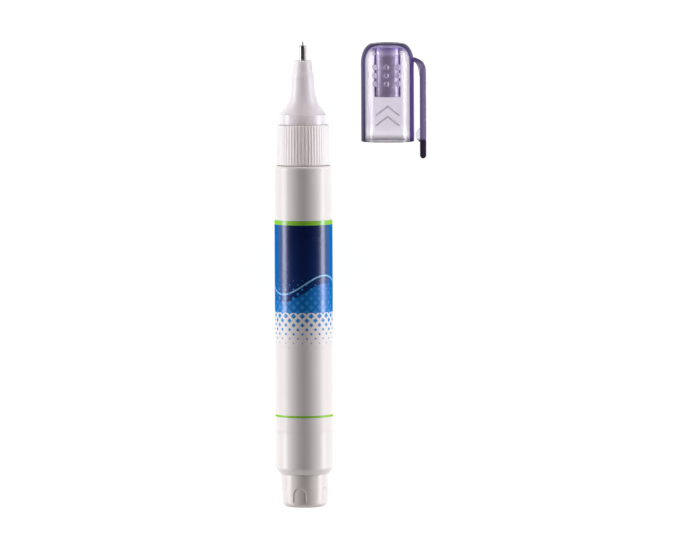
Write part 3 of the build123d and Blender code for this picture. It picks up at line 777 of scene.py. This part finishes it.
class PEN_OT_tail_plug(bpy.types.Operator):
    """Fluted plug in the barrel's tail"""

    bl_idname = "pen.tail_plug"
    bl_label = "Tail plug"

    def execute(self, context):
        s, c = context.scene.pen_sizes, context.scene.pen_colours
        low, high = reach_of("tail_plug")
        seat = reach_of("barrel")[0] - s.fit
        soft = 0.15 * MM
        outline = softened([
            (0.0, low, 0.0),
            (s.plug_end_radius, low, s.plug_round),
            (s.plug_radius, seat, soft),
            (s.plug_fit, seat, 0.03 * MM),
            (s.plug_fit, high - s.plug_lead, soft),
            (s.plug_fit - s.plug_lead, high, soft),
            (s.plug_hollow, high, soft),
            (s.plug_hollow, s.plug_floor, 4 * soft),
            (0.0, s.plug_floor, 0.0),
        ], 14)
        fluted = s.flute_height + 2 * s.flute_edge
        outline = refined(outline, 3 * MM, closed=False)
        wall = (outline[:, 1] < fluted) & (outline[:, 0] > s.plug_hollow + MM)
        first, last = np.flatnonzero(wall)[[0, -1]]
        fine = refined(outline[first : last + 2], 0.1 * MM, 0.05 * MM, closed=False)
        outline = np.vstack([outline[:first], fine, outline[last + 2 :]])
        half, spacing = s.flute_width / 2, TURN / s.flute_count

        def fluted_wall(r, h, a):
            """Radius, drawn in to a floor that follows the tapered wall inside each flute's arch."""
            off = (a - s.flute_turn + spacing / 2) % spacing - spacing / 2
            across, up = r * np.sin(off), np.maximum(h - (s.flute_height - half), 0)
            inside = half - np.hypot(across, up)
            sunk = smooth(0.0, s.flute_edge, inside) * (r > s.plug_hollow + 0.5 * MM) * (h < seat - MM)
            floor = s.plug_end_radius + (s.plug_radius - s.plug_end_radius) * h / seat - s.flute_depth
            return r + np.minimum(floor - r, 0) * sunk

        steps_a_flute = 90
        grid = turned(outline, circle(steps_a_flute * s.flute_count), wall=fluted_wall)
        satin = {"roughness": 0.3, "scatter": 0.2, "depth": 1.5 * MM}
        white = moulded_plastic("Moulded white polyethylene, plug", c.plug, c.plug_shade, **satin)
        piece("fluted_plug", [(grid, False, True)], white, "pen", ["tail_plug"])
        return {"FINISHED"}


class PEN_OT_collar(bpy.types.Operator):
    """Ribbed grip collar"""

    bl_idname = "pen.collar"
    bl_label = "Ribbed collar"

    def execute(self, context):
        s, c = context.scene.pen_sizes, context.scene.pen_colours
        low, high = reach_of("collar")
        soft = 0.12 * MM
        outline = softened([
            (s.collar_bore, low, 0.08 * MM),
            (s.collar_low, low, soft),
            (s.collar_high, high, soft),
            (s.collar_bore, high, 0.08 * MM),
        ])

        def ribbed(r, h, a):
            """Radius less the groove depth times half of 1 - cos of the rib's angle on the outside."""
            groove = 0.5 - 0.5 * np.cos(s.rib_count * a)
            return r - s.rib_depth * groove * smooth(s.collar_bore, s.collar_high - 2 * soft, r)

        steps_a_rib = 12
        grid = turned(refined(outline, 1.2 * MM), circle(steps_a_rib * s.rib_count), wall=ribbed)
        satin = {"roughness": 0.36, "scatter": 0.6, "depth": 1.5 * MM}
        white = moulded_plastic("Moulded white polypropylene, collar", c.collar, c.collar_shade, **satin)
        piece("ribbed_collar", [(grid, True, True)], white, "pen", ["collar"])
        return {"FINISHED"}


class PEN_OT_nozzle(bpy.types.Operator):
    """Nozzle: skirt, cap ring, hollow-curved flare, neck and nose"""

    bl_idname = "pen.nozzle"
    bl_label = "Nozzle"

    def execute(self, context):
        s, c = context.scene.pen_sizes, context.scene.pen_colours
        skirt_low, nose_end = reach_of("nozzle")
        ring_low = reach_of("collar")[1] + s.fit
        ring_high = ring_low - s.fit + s.ring_length
        flare_end = ring_high + s.flare_length
        neck_end = flare_end + s.tip_neck_length
        # The flare is the arc of a circle that starts on the ring and runs straight into the neck
        fall = s.flare_radius - s.tip_neck_radius
        bend = (s.flare_length**2 + fall**2) / (2 * fall)
        sweep = np.linspace(math.asin(s.flare_length / bend), 0, 26)
        across, along = s.tip_neck_radius + bend * (1 - np.cos(sweep)), flare_end - bend * np.sin(sweep)
        flare = np.stack([across, along, 0 * sweep], 1)
        flare[0, 2] = 0.12 * MM
        soft = 0.15 * MM
        tube = s.tube_radius + s.fit
        outline = softened([
            (s.skirt_bore, skirt_low, soft),
            (s.skirt_radius, skirt_low, soft),
            (s.skirt_radius, ring_low, 0.05 * MM),
            (s.ring_radius, ring_low, soft),
            (s.ring_radius, ring_high, 0.2 * MM),
            *flare.tolist(),
            (s.tip_neck_radius, neck_end, 2 * soft),
            (s.nose_radius, neck_end + s.nose_slope, 2 * soft),
            (s.nose_end_radius, nose_end, 0.28 * MM),
            (tube, nose_end, soft),
            (tube, s.chamber_high, soft),
            (s.chamber, s.chamber_high, soft),
            (s.chamber, s.chamber_low, soft),
            (s.cavity, s.cavity_end, soft),
            (s.cavity, s.web - s.spigot_length, soft),
            (s.spigot_radius, s.web - s.spigot_length, soft),
            (s.spigot_radius, s.web, soft),
            (s.skirt_bore, s.web, soft),
        ])
        grid = turned(refined(outline, 2 * MM, 0.12 * MM), circle(s.round_steps))
        waxy = {"roughness": 0.3, "scatter": 1.0, "depth": 3 * MM}
        white = moulded_plastic("Moulded natural polyethylene, nozzle", c.nozzle, c.nozzle_shade, **waxy)
        piece("flared_nozzle", [(grid, True, True)], white, "pen", ["nozzle"])
        return {"FINISHED"}


class PEN_OT_metal_tip(bpy.types.Operator):
    """Plated tube in the nose and the steel pin that stands out of it"""

    bl_idname = "pen.metal_tip"
    bl_label = "Metal tip"

    def execute(self, context):
        s, c = context.scene.pen_sizes, context.scene.pen_colours
        low, high = reach_of("tip_tube")
        seat = high - s.valve_seat
        soft = 0.05 * MM
        outline = softened([
            (s.tube_bore, low, soft),
            (s.tube_flange, low, soft),
            (s.tube_flange, low + s.flange_length, soft),
            (s.tube_radius, low + s.flange_length, soft),
            (s.tube_radius, high, 0.3 * MM),
            (s.tube_mouth, high, soft),
            (s.tube_mouth, seat + s.valve_slope, soft),
            (s.tube_bore, seat, soft),
        ])
        grid = turned(refined(outline, 1.5 * MM, 0.06 * MM), circle(s.round_steps // 2))
        plated = drawn_metal("Nickel-plated brass, drawn", c.plated, roughness=0.33, pitch=0.4 * MM)
        piece("plated_tube", [(grid, True, True)], plated, "pen", ["tip_tube"])
        low, high = reach_of("needle")
        cone = high - s.pin_slope
        outline = softened([
            (0.0, low, 0.0),
            (s.stem_radius, low, soft),
            (s.stem_radius, cone - s.valve_slope / 2, soft),
            (s.pin_radius, cone, soft),
            (s.pin_radius, high, 0.26 * MM),
            (0.0, high, 0.0),
        ])
        grid = turned(refined(outline, 1.5 * MM, 0.04 * MM, closed=False), circle(s.round_steps // 4))
        steel = drawn_metal("Stainless steel, ground", c.pin, roughness=0.5, pitch=0.3 * MM)
        piece("steel_pin", [(grid, False, True)], steel, "valve", ["needle"])
        return {"FINISHED"}


class PEN_OT_inner_works(bpy.types.Operator):
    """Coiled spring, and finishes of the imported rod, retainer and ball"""

    bl_idname = "pen.inner_works"
    bl_label = "Inner works"

    def execute(self, context):
        s, c = context.scene.pen_sizes, context.scene.pen_colours
        hard = {"roughness": 0.4, "scatter": 0.05, "depth": 0.8 * MM}
        acetal = moulded_plastic("Moulded acetal", c.acetal, c.acetal_shade, **hard)
        wire = drawn_metal("Spring steel, drawn", c.wire, roughness=0.28, pitch=0.2 * MM)
        finishes = {
            "valve_rod": (acetal, "valve_plastic"),
            "spring_retainer": (acetal, "valve_plastic"),
            "mixing_ball": (wire, "spring_steel"),
        }
        for name, (material, slot) in finishes.items():
            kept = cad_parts[name]
            kept.data.materials.clear()
            kept.data.materials.append(material)
        low, high = reach_of("valve_spring")
        grid = self.coil(s, low, high)
        spring = piece("coil_spring", [(grid, False, True)], wire, None, ["valve_spring"])
        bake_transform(spring)
        return {"FINISHED"}

    def coil(self, s, low, high):
        """Round wire carried along a helix about Y.

        The line is x = R sin a, z = R cos a with y rising evenly with the angle a. Point (i, j) is
        line i + w (cos b out + sin b up), where out points from the axis and up is square to out and line.
        The first and last rings are drawn in to a point, which closes the ends.
        """
        steps_a_turn, steps_round = 48, 14
        a = np.linspace(0, TURN * s.coil_turns, steps_a_turn * s.coil_turns)
        b = circle(steps_round)
        y = np.linspace(low + s.wire_radius, high - s.wire_radius, len(a))
        climb = (y[-1] - y[0]) / a[-1]
        out = np.stack([np.sin(a), 0 * a, np.cos(a)], 1)
        ahead = np.stack([s.coil_radius * np.cos(a), climb + 0 * a, -s.coil_radius * np.sin(a)], 1)
        up = np.cross(ahead, out) / np.linalg.norm(ahead, axis=1, keepdims=True)
        line = s.coil_radius * out + np.stack([0 * a, y, 0 * a], 1)
        rows = np.r_[0, np.arange(len(a)), len(a) - 1]
        w = np.r_[0.0, np.full(len(a), s.wire_radius), 0.0]
        ring = np.cos(b)[:, None] * out[rows, None] + np.sin(b)[:, None] * up[rows, None]
        return line[rows, None] + w[:, None, None] * ring


class PEN_OT_cap_shell(bpy.types.Operator):
    """Clear violet cap with a dome, a hole in its top, pips and chevrons"""

    bl_idname = "pen.cap_shell"
    bl_label = "Cap shell"

    def execute(self, context):
        s, c = context.scene.cap_sizes, context.scene.pen_colours
        axis, mouth = cap_axis()
        soft = 0.12 * MM
        inner_end = math.acos((s.boss - s.dome_centre) / (s.bore - s.dome_centre))

        def dome(radius, rise, start, end, steps):
            """Part of a quarter ellipse from the wall to the dome's centre radius, as rows of an outline."""
            curve = np.linspace(start, end, steps)
            across = s.dome_centre + (radius - s.dome_centre) * np.cos(curve)
            return np.stack([across, s.dome_start + rise * np.sin(curve), 0 * curve], 1).tolist()

        top = s.dome_start + s.dome_rise
        outline = softened([
            (s.radius, 0.0, 0.3 * MM),
            *dome(s.radius, s.dome_rise, 0, TURN / 4, 30),
            (s.hole, top, 0.2 * MM),
            (s.hole, s.boss_start, soft),
            (s.boss, s.boss_start, soft),
            *dome(s.bore, s.dome_inner_rise, inner_end, 0, 22),
            (s.bore, s.socket_depth + s.socket_slope, 5 * soft),
            (s.socket, s.socket_depth, 5 * soft),
            (s.socket, 0.0, soft),
        ])
        outline = refined(outline, 1.5 * MM)
        outside = np.abs(outline[:, 0] - s.radius) < 10 * MERGE
        wall = np.flatnonzero(outside & (outline[:, 1] < s.dome_start + 10 * MERGE))
        fine = np.arange(outline[wall[0], 1], s.dome_start, s.wall_step)
        side = np.stack([np.full_like(fine, s.radius), fine], 1)
        outline = np.vstack([outline[: wall[0]], side, outline[wall[-1] :]])
        front = np.linspace(-s.fine_arc, s.fine_arc, s.fine_steps)
        back = np.linspace(s.fine_arc, TURN - s.fine_arc, s.plain_steps + 2)[1:-1]
        pip_angles = s.pip_turn + s.pip_step * np.array([-1, 0, 1])
        pip_heights = s.pip_top - s.pip_row * np.arange(3)
        chevrons = s.chevron_low + s.chevron_step * np.arange(2)

        def barred(r, h, a):
            """1 inside the chevrons on the outside wall, falling off smoothly over their edge to 0."""
            off = (a + math.pi) % TURN - math.pi
            across = np.abs(s.radius * np.sin(off))
            foot = h[..., None] - chevrons - s.chevron_rise * (1 - across[..., None] / s.chevron_half)
            inside = np.minimum(foot, s.chevron_stroke - foot).max(2)
            inside = np.minimum(inside, s.chevron_half - across) * (np.cos(off) > 0)
            return smooth(0.0, s.chevron_edge, inside) * (np.abs(r - s.radius) < 100 * MERGE)

        def pipped(r, h, a):
            """Height of the pips on the outside wall, from 0 up their sloping sides to 1 on their tops."""
            off = (a + math.pi) % TURN - math.pi
            d2 = (s.radius * (off[..., None, None] - pip_angles[:, None])) ** 2
            d2 = d2 + (h[..., None, None] - pip_heights) ** 2
            slope = (s.pip_radius - np.sqrt(d2)) / s.pip_flank
            return np.clip(slope, 0, 1).max((2, 3)) * (np.abs(r - s.radius) < 100 * MERGE)

        def embossed(r, h, a):
            """Radius plus pips, cones cut off flat at their height, plus chevrons with steep edges."""
            return r + s.pip_height * pipped(r, h, a) + s.chevron_relief * barred(r, h, a)

        columns = np.concatenate([front, back])
        grid = turned(outline, columns, axis, mouth, embossed)
        lip = (c.mouth, mouth + 0.4 * MM, mouth + 1.8 * MM)
        # Painted shade: the tint deepens towards the top of the dome
        painted_dome_shade = (c.painted_dome_shade, mouth + 26.4 * MM, mouth + 24.6 * MM)
        glass = {"density": 300.0, "roughness": 0.03}
        violet = clear_plastic("Clear violet polystyrene", c.clear, c, [lip, painted_dome_shade], **glass)
        shell = piece("clear_cap", [(grid, True, True)], violet, "cap", ["cap_shell"])
        flat = 0 * columns[None, :]
        places = (outline[:, :1] + flat, outline[:, 1:] + flat, columns[None, :] + 0 * outline[:, :1])
        outer = np.arange(len(outline))[:, None] <= outline[:, 1].argmax()
        pips = pipped(*places)
        marked(shell, skin=outer + flat, bars=barred(*places), pips=(pips > 0) * (pips < 1))
        shell.visible_shadow = False
        return {"FINISHED"}


class PEN_OT_inner_seal(bpy.types.Operator):
    """Violet sleeve that hangs in the cap and closes over the pen's neck"""

    bl_idname = "pen.inner_seal"
    bl_label = "Inner seal"

    def execute(self, context):
        s, c = context.scene.cap_sizes, context.scene.pen_colours
        axis, mouth = cap_axis()
        soft = 0.12 * MM
        outline = softened([
            (0.0, s.seal_top, 0.0),
            (s.seal_head, s.seal_top, 2 * soft),
            (s.seal_head, s.seal_shoulder, 0.05 * MM),
            (s.seal_radius, s.seal_shoulder, 0.08 * MM),
            (s.seal_radius, s.seal_start, soft),
            (s.seal_lip_bore, s.seal_start, soft),
            (s.seal_lip_bore, s.seal_start + s.seal_lip, soft),
            (s.seal_bore, s.seal_start + s.seal_lip + s.seal_lip_bore - s.seal_bore, soft),
            (s.seal_bore, s.seal_ceiling, 4 * soft),
            (0.0, s.seal_ceiling, 0.0),
        ])
        steps_round = 128
        grid = turned(refined(outline, 1.5 * MM, 0.15 * MM, closed=False), circle(steps_round), axis, mouth)
        shoulder = mouth + s.seal_shoulder
        tinted = tinted_plastic("Tinted polyethylene", c.seal, c.seal_light, c.edge_on_shade, c.seal_head, shoulder)
        piece("sealing_sleeve", [(grid, False, True)], tinted, "cap", ["inner_seal"])
        return {"FINISHED"}


class PEN_OT_pocket_clip(bpy.types.Operator):
    """Pocket clip: arm, bar, gripping nub and thin web"""

    bl_idname = "pen.pocket_clip"
    bl_label = "Pocket clip"

    def execute(self, context):
        s, c = context.scene.cap_sizes, context.scene.pen_colours
        axis, mouth = cap_axis()
        half = s.clip_thick / 2

        def placed(across, along):
            """Points in the clip's plane, from distances from the axis and heights above the mouth."""
            return np.stack([axis[0] + across, mouth + along, axis[1] + 0 * across], 1)

        # Arm and bar: a rounded rectangle along a bent line, thinner at the wall, with a half round end
        path = softened([
            (s.clip_root_in, s.clip_root, 0.0),
            (s.clip_centre, s.clip_corner, s.clip_bend),
            (s.clip_centre, s.clip_end, 0.0),
        ], 12)
        path = refined(path, 0.5 * MM, 0.1 * MM, closed=False)
        ends = s.clip_end + half * (1 - np.sin(np.linspace(0, TURN / 4, 12)))
        straight = path[path[:, 1] > s.clip_end + half]
        path = np.vstack([straight, np.stack([np.full_like(ends, s.clip_centre), ends], 1)])
        ahead = np.gradient(path, axis=0)
        ahead = ahead / np.linalg.norm(ahead, axis=1, keepdims=True)
        normal = np.stack([-ahead[:, 1], ahead[:, 0], 0 * ahead[:, 0]], 1)
        below = np.clip((s.clip_end + half - path[:, 1]) / half, 0, 1)
        arm = smooth(s.radius, s.clip_centre, path[:, 0])
        thick = half * np.sqrt(np.maximum(1 - below**2, 0)) * (s.arm_share + (1 - s.arm_share) * arm)
        thick[0] = 0.0
        ring = softened([(1.0, 1.0, 0.45), (-1.0, 1.0, 0.45), (-1.0, -1.0, 0.45), (1.0, -1.0, 0.45)], 8)
        ring[:, 1] = np.sign(ring[:, 1]) * (1 - (1 - np.abs(ring[:, 1])) * s.clip_thick / s.clip_width)
        bar = swept(placed(*path.T), normal, ring, thick, s.clip_width)

        # Nub: a low arc of a circle on the bar's inner face, sunk a little into it
        inner = s.clip_centre - half
        arc = (s.nub_chord**2 / 4 + s.nub_rise**2) / (2 * s.nub_rise)
        along = s.nub_chord / 2 * np.sin(np.linspace(-TURN / 4, TURN / 4, 24))
        rise = np.sqrt(arc**2 - along**2) - (arc - s.nub_rise)
        sunk = 0.12 * MM
        base = placed(inner + sunk + 0 * along, s.nub_height + along)
        inward = np.tile([-1.0, 0.0, 0.0], (len(along), 1))
        section = softened([(1.0, 1.0, 0.35), (1.0, -1.0, 0.35), (0.0, -1.0, 0.0), (0.0, 1.0, 0.0)], 6)
        height = rise + sunk
        height[[0, -1]] = 0.0
        nub = swept(base, inward, section, height, s.nub_width)

        # Web: from a line held in the arm and bar to a free edge, a parabola from root by knee to foot
        t = np.linspace(0, 1, 24)
        root = np.array([s.radius + s.gusset_gap, s.clip_corner + half / 2])
        foot = np.array([inner, s.clip_corner - s.gusset_height])
        knee = np.array([inner - 0.35 * MM, s.clip_corner - 0.5 * MM])
        free = (1 - t[:, None]) ** 2 * root + 2 * (t * (1 - t))[:, None] * knee + t[:, None] ** 2 * foot
        held_at = [0, 0.45, 1]
        held_across = np.interp(t, held_at, [root[0] + 0.6 * MM, s.clip_centre - 0.3 * MM, inner + sunk])
        held_along = np.interp(t, held_at, [root[1] + 0.35 * MM, s.clip_corner, foot[1]])
        held = np.stack([held_across, held_along], 1)
        span = free - held
        reach = np.linalg.norm(span, axis=1)
        aim = np.column_stack([span / reach[:, None], 0 * reach])
        reach[[0, -1]] = 0.0
        web = swept(placed(*held.T), aim, section, reach, s.gusset_width)

        # Painted shade: the clip's tint darkens towards its end below the mouth
        tip = (c.clip_end, mouth + 0.2 * MM, mouth + 0.9 * MM)
        glass = {"density": 470.0, "roughness": 0.04}
        violet = clear_plastic("Clear violet polystyrene, clip", c.clip, c, [tip], **glass)
        grids = [(bar, False, True), (nub, False, True), (web, False, True)]
        clip = piece("bending_clip", grids, violet, None, ["pocket_clip"])
        # Painted shade: the arm and the bar's inner edge take the grey and are the darkest, and the thin nub
        # and web stay clear
        co = np.empty((len(clip.data.vertices), 3), np.float32)
        clip.data.vertices.foreach_get("co", co.ravel())
        inward = np.clip(0.5 - (co[:, 0] - axis[0] - s.clip_centre) / s.clip_thick, 0, 1)
        marked(clip, skin=np.ones(len(co)), bars=inward * (np.abs(co[:, 2] - axis[1]) > s.nub_width))
        clip.visible_shadow = False
        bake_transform(clip)
        return {"FINISHED"}


class PEN_OT_studio(bpy.types.Operator):
    """White floor, side lights, faint lights on the whites, surroundings dark overhead, and camera"""

    bl_idname = "pen.studio"
    bl_label = "Studio"

    def execute(self, context):
        s, c = context.scene.pen_studio, context.scene.pen_colours
        scene = context.scene
        scene.view_settings.view_transform = "Standard"
        half, level = s.floor_half, cad_low.z - 0.02 * MM
        corners = [(x * half, y * half, level) for x, y in ((-1, -1), (1, -1), (1, 1), (-1, 1))]
        mesh = bpy.data.meshes.new("floor")
        mesh.from_pydata(corners, [], [(0, 1, 2, 3)])
        floor = bpy.data.objects.new("floor", mesh)
        scene.collection.objects.link(floor)
        material, tree = blank("White seamless paper")
        ray = node(tree, "LightPath").outputs
        matt = node(tree, "BsdfDiffuse", {"Color": c.floor})
        glow = node(tree, "Emission", {"Color": WHITE, "Strength": s.floor_glow})
        shade = node(tree, "BsdfDiffuse", {"Color": c.floor_shade})
        both = node(tree, "AddShader", {0: shade, 1: glow})
        seen = ray["Is Camera Ray"]
        for kind in ("Is Glossy Ray", "Is Transmission Ray"):
            seen = node(tree, "Math", {0: seen, 1: ray[kind]}, operation="MAXIMUM")
        mixed = node(tree, "MixShader", {0: seen, 1: matt, 2: both})
        node(tree, "OutputMaterial", {"Surface": mixed})
        mesh.materials.append(material)

        world = bpy.data.worlds.new("Studio")
        scene.world = world
        world.use_nodes = True
        tree = world.node_tree
        tree.nodes.clear()
        heading = node(tree, "SeparateXYZ", {0: node(tree, "TexCoord").outputs["Generated"]}).outputs[2]
        fall = {"From Max": 0.6, "To Min": s.side_level, "To Max": s.top_level}
        level = node(tree, "MapRange", {"Value": heading, **fall}, interpolation_type="SMOOTHSTEP")
        lit = node(tree, "Background", {"Color": c.room, "Strength": level})
        white = node(tree, "Background", {"Color": WHITE, "Strength": 1.0})
        ray = node(tree, "LightPath").outputs
        mixed = node(tree, "MixShader", {0: ray["Is Camera Ray"], 1: lit, 2: white})
        node(tree, "OutputWorld", {"Surface": mixed})

        for side, name, power in ((-1, "left_strip", s.left_power), (1, "right_strip", s.right_power)):
            place = (s.target_x + side * s.strip_distance, s.target_y, cad_low.z + s.strip_height / 2 + MM)
            aim = (TURN / 4, 0.0, side * TURN / 4)
            self.lamp(name, place, aim, (s.strip_length, s.strip_height), power, WHITE)
        # Waxy polyethylene carries light round to its dark side, which the first of these faint lights
        # stands for. The second is the white room at the tip's end, on the edges that face it
        waxy = ("ribbed_collar", "flared_nozzle")
        facing = ("barrel_tube", *waxy)
        for name, ahead, height, size, power, colour, reached in (
            ("wax_fill", 0.0, s.fill_height, s.fill_size, s.fill_power, c.fill, waxy),
            ("end_light", s.end_distance, s.end_height, s.end_size, s.end_power, c.room, facing),
        ):
            aim = (-math.atan2(ahead, height), 0.0, 0.0)
            fill = self.lamp(name, (0.0, cad_high.y + ahead, height), aim, (size, size), power, colour)
            fill.visible_glossy = fill.visible_transmission = False
            whites = bpy.data.collections.new(name)
            for piece_name in reached:
                whites.objects.link(bpy.data.objects[piece_name])
            fill.light_linking.receiver_collection = whites

        view = bpy.data.cameras.new("view")
        view.lens = s.lens
        view.clip_end = 3 * s.distance
        camera = bpy.data.objects.new("view", view)
        back, up = s.distance * math.sin(s.tilt), s.distance * math.cos(s.tilt)
        camera.location = (s.target_x, s.target_y + back, up)
        camera.rotation_euler = (-s.tilt, 0.0, s.roll)
        scene.collection.objects.link(camera)
        scene.camera = camera
        return {"FINISHED"}

    def lamp(self, name, place, aim, sides, power, colour):
        """Adds an area light that the camera doesn't see, with its sides in metres and its power in watts."""
        light = bpy.data.lights.new(name, "AREA")
        light.shape = "RECTANGLE"
        light.size, light.size_y = sides
        light.energy, light.color = power, colour[:3]
        made = bpy.data.objects.new(name, light)
        made.location, made.rotation_euler = place, aim
        made.visible_camera = False
        bpy.context.scene.collection.objects.link(made)
        return made


PIECES = (
    PEN_OT_barrel,
    PEN_OT_film,
    PEN_OT_tail_plug,
    PEN_OT_collar,
    PEN_OT_nozzle,
    PEN_OT_metal_tip,
    PEN_OT_inner_works,
    PEN_OT_cap_shell,
    PEN_OT_inner_seal,
    PEN_OT_pocket_clip,
    PEN_OT_studio,
)
GROUPS = {
    "pen_sizes": PenSizes,
    "cap_sizes": CapSizes,
    "pen_print": PrintLayout,
    "pen_colours": PenColours,
    "pen_studio": StudioLight,
}


class PEN_PT_sidebar(bpy.types.Panel):
    """Lists the pen's operators and sizes"""

    bl_idname = "PEN_PT_sidebar"
    bl_label = "Correction pen"
    bl_space_type = "VIEW_3D"
    bl_region_type = "UI"
    bl_category = "Correction pen"

    def draw(self, context):
        for made in PIECES:
            self.layout.operator(made.bl_idname)
        for name in GROUPS:
            box = self.layout.box()
            for prop in GROUPS[name].__annotations__:
                box.prop(getattr(context.scene, name), prop)


CLASSES = (*GROUPS.values(), *PIECES, PEN_PT_sidebar)


def register():
    """Registers the classes and hangs the groups of settings on the scene."""
    for made in CLASSES:
        bpy.utils.register_class(made)
    for name, group in GROUPS.items():
        setattr(bpy.types.Scene, name, bpy.props.PointerProperty(type=group))


def unregister():
    """Takes away what register added."""
    for name in GROUPS:
        delattr(bpy.types.Scene, name)
    for made in reversed(CLASSES):
        bpy.utils.unregister_class(made)


def main():
    """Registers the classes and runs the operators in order."""
    register()
    bpy.ops.pen.barrel()
    bpy.ops.pen.film()
    bpy.ops.pen.tail_plug()
    bpy.ops.pen.collar()
    bpy.ops.pen.nozzle()
    bpy.ops.pen.metal_tip()
    bpy.ops.pen.inner_works()
    bpy.ops.pen.cap_shell()
    bpy.ops.pen.inner_seal()
    bpy.ops.pen.pocket_clip()
    bpy.ops.pen.studio()


if __name__ == "__main__":
    main()
